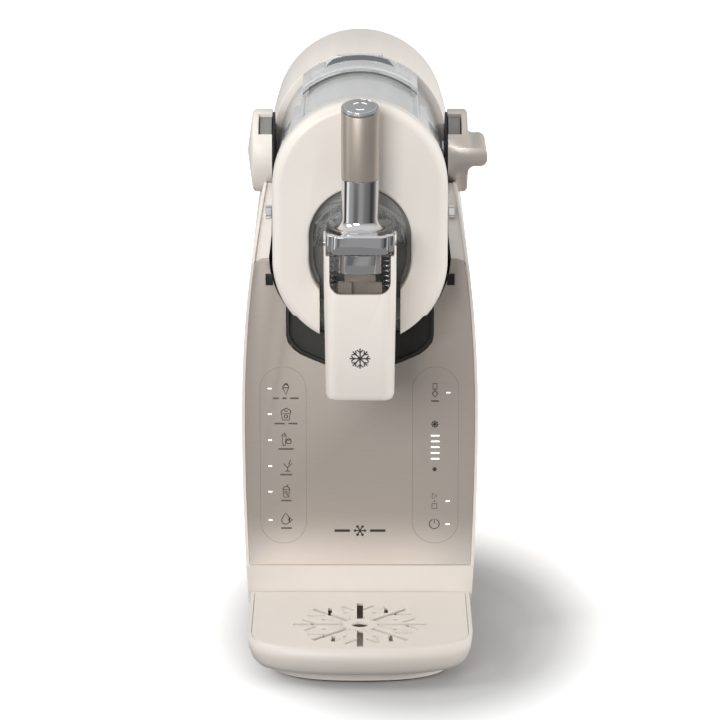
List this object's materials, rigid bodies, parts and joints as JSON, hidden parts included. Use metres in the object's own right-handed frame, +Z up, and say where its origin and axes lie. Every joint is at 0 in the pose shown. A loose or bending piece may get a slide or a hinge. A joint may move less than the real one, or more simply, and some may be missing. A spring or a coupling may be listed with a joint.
{
  "type": "ice cream maker",
  "caption": "Countertop soft-serve and slush machine with a clear vessel, front tap with an upright handle, touch panel and drip tray.",
  "frame": {"origin": "on the floor, under the middle of the base, at the underside of the rubber foot", "axes": "+Z up, the front with the tap faces -Y, +X to the right as seen from the front"},
  "size_m": [0.198, 0.398, 0.4586],
  "materials": {
    "cream_plastic": "satin moulded",
    "panel_metal": "fine brushed champagne",
    "champagne_metal": "satin champagne",
    "chrome": "polished",
    "stainless": "brushed",
    "clear_plastic": "clear, polished",
    "smoked_plastic": "translucent, polished",
    "dark_plastic": "fine textured",
    "black_plastic": "matt",
    "grey_plastic": "satin",
    "white_plastic": "satin",
    "rubber": "matt",
    "grey_rubber": "matt",
    "light": "lit white",
    "copper": "drawn tube",
    "bronze": "sintered",
    "black_metal": "semi-gloss paint",
    "motor_metal": "zinc plated",
    "fin_aluminium": "bare",
    "board": "solder mask"
  },
  "bodies": {
    "machine": {"foot_ring": "rubber", "base_pan": "cream_plastic", "side_cover_left": "cream_plastic", "side_cover_right": "cream_plastic", "rear_cover": "cream_plastic", "front_panel": "panel_metal", "recess_plate": "dark_plastic", "cavity_liner": "black_plastic", "arm_trims": "cream_plastic", "side_catches": "chrome", "panel_bumpers": "black_plastic", "status_lights": "light", "rear_housing": "cream_plastic", "side_cap": "cream_plastic", "side_cap_insert": "grey_plastic", "vessel_gasket": "grey_rubber", "shaft_bush": "bronze", "evaporator": "stainless", "evaporator_seal": "rubber", "gearbox_case": "black_plastic", "gear_motor": "motor_metal", "compressor": "black_metal", "compressor_mounts": "rubber", "condenser": "fin_aluminium", "fan_shroud": "black_plastic", "fan_motor": "black_plastic", "refrigerant_lines": "copper", "control_board": "board", "touch_board": "board", "cover_screws": "stainless", "cord_gland": "black_plastic"},
    "vessel_unit": {"vessel": "clear_plastic", "front_bezel": "cream_plastic", "bezel_seal": "dark_plastic", "valve_body": "smoked_plastic", "guide_collar": "chrome", "spout_cover": "cream_plastic", "nozzle": "white_plastic", "snowflake_badge": "black_plastic", "pivot_pin": "stainless", "lid_hinge_pin": "stainless", "return_springs": "stainless"},
    "lid": {"fill_lid": "clear_plastic", "lid_gasket": "grey_rubber"},
    "handle": {"handle_yoke": "chrome", "handle_stem": "chrome", "handle_grip": "champagne_metal", "handle_cap": "chrome"},
    "valve_plunger": {"plunger": "white_plastic", "plunger_seals": "rubber"},
    "auger_unit": {"auger": "white_plastic", "drive_shaft": "stainless", "drive_gear": "white_plastic"},
    "pinion": {"motor_pinion": "bronze"},
    "fan": {"fan_blades": "black_plastic"},
    "lock": {"lock_knob": "champagne_metal", "lock_knob_insert": "grey_plastic", "lock_shaft": "stainless"},
    "tray": {"drip_tray": "cream_plastic"},
    "grate": {"drip_grate": "cream_plastic"}
  },
  "joints": [
    {"name": "vessel_slide", "type": "slide", "parent": "machine", "child": "vessel_unit", "axis": [0, -1, 0], "range_m": [0, 0.19]},
    {"name": "lid_hinge", "type": "hinge", "parent": "vessel_unit", "child": "lid", "pos_m": [0, 0.0814, 0.4549], "axis": [-1, 0, 0], "range_deg": [0, 88]},
    {"name": "handle_hinge", "type": "hinge", "parent": "vessel_unit", "child": "handle", "pos_m": [0, -0.146, 0.352], "axis": [1, 0, 0], "range_deg": [0, 60], "stiffness_Nm_per_rad": 0.5, "springref_deg": -20.05, "deforming": ["return_springs"]},
    {"name": "plunger_lift", "type": "slide", "parent": "vessel_unit", "child": "valve_plunger", "axis": [0, 0, 1], "range_m": [0, 0.0268]},
    {"name": "auger_spin", "type": "hinge", "parent": "machine", "child": "auger_unit", "pos_m": [0, 0, 0.327], "axis": [0, -1, 0], "continuous": true},
    {"name": "pinion_spin", "type": "hinge", "parent": "machine", "child": "pinion", "pos_m": [0, 0, 0.363], "axis": [0, -1, 0], "continuous": true},
    {"name": "fan_spin", "type": "hinge", "parent": "machine", "child": "fan", "pos_m": [0, 0, 0.108], "axis": [0, -1, 0], "continuous": true},
    {"name": "lock_turn", "type": "hinge", "parent": "machine", "child": "lock", "pos_m": [0, 0.038, 0.386], "axis": [1, 0, 0], "range_deg": [0, 90]},
    {"name": "tray_slide", "type": "slide", "parent": "machine", "child": "tray", "axis": [0, -1, 0], "range_m": [0, 0.15]},
    {"name": "grate_lift", "type": "slide", "parent": "tray", "child": "grate", "axis": [0, 0, 1], "range_m": [0, 0.06]}
  ],
  "couplings": [
    {"joint": "plunger_lift", "follows": "handle_hinge", "m_per_rad": 0.025306},
    {"joint": "pinion_spin", "follows": "auger_spin", "ratio": -3}
  ]
}
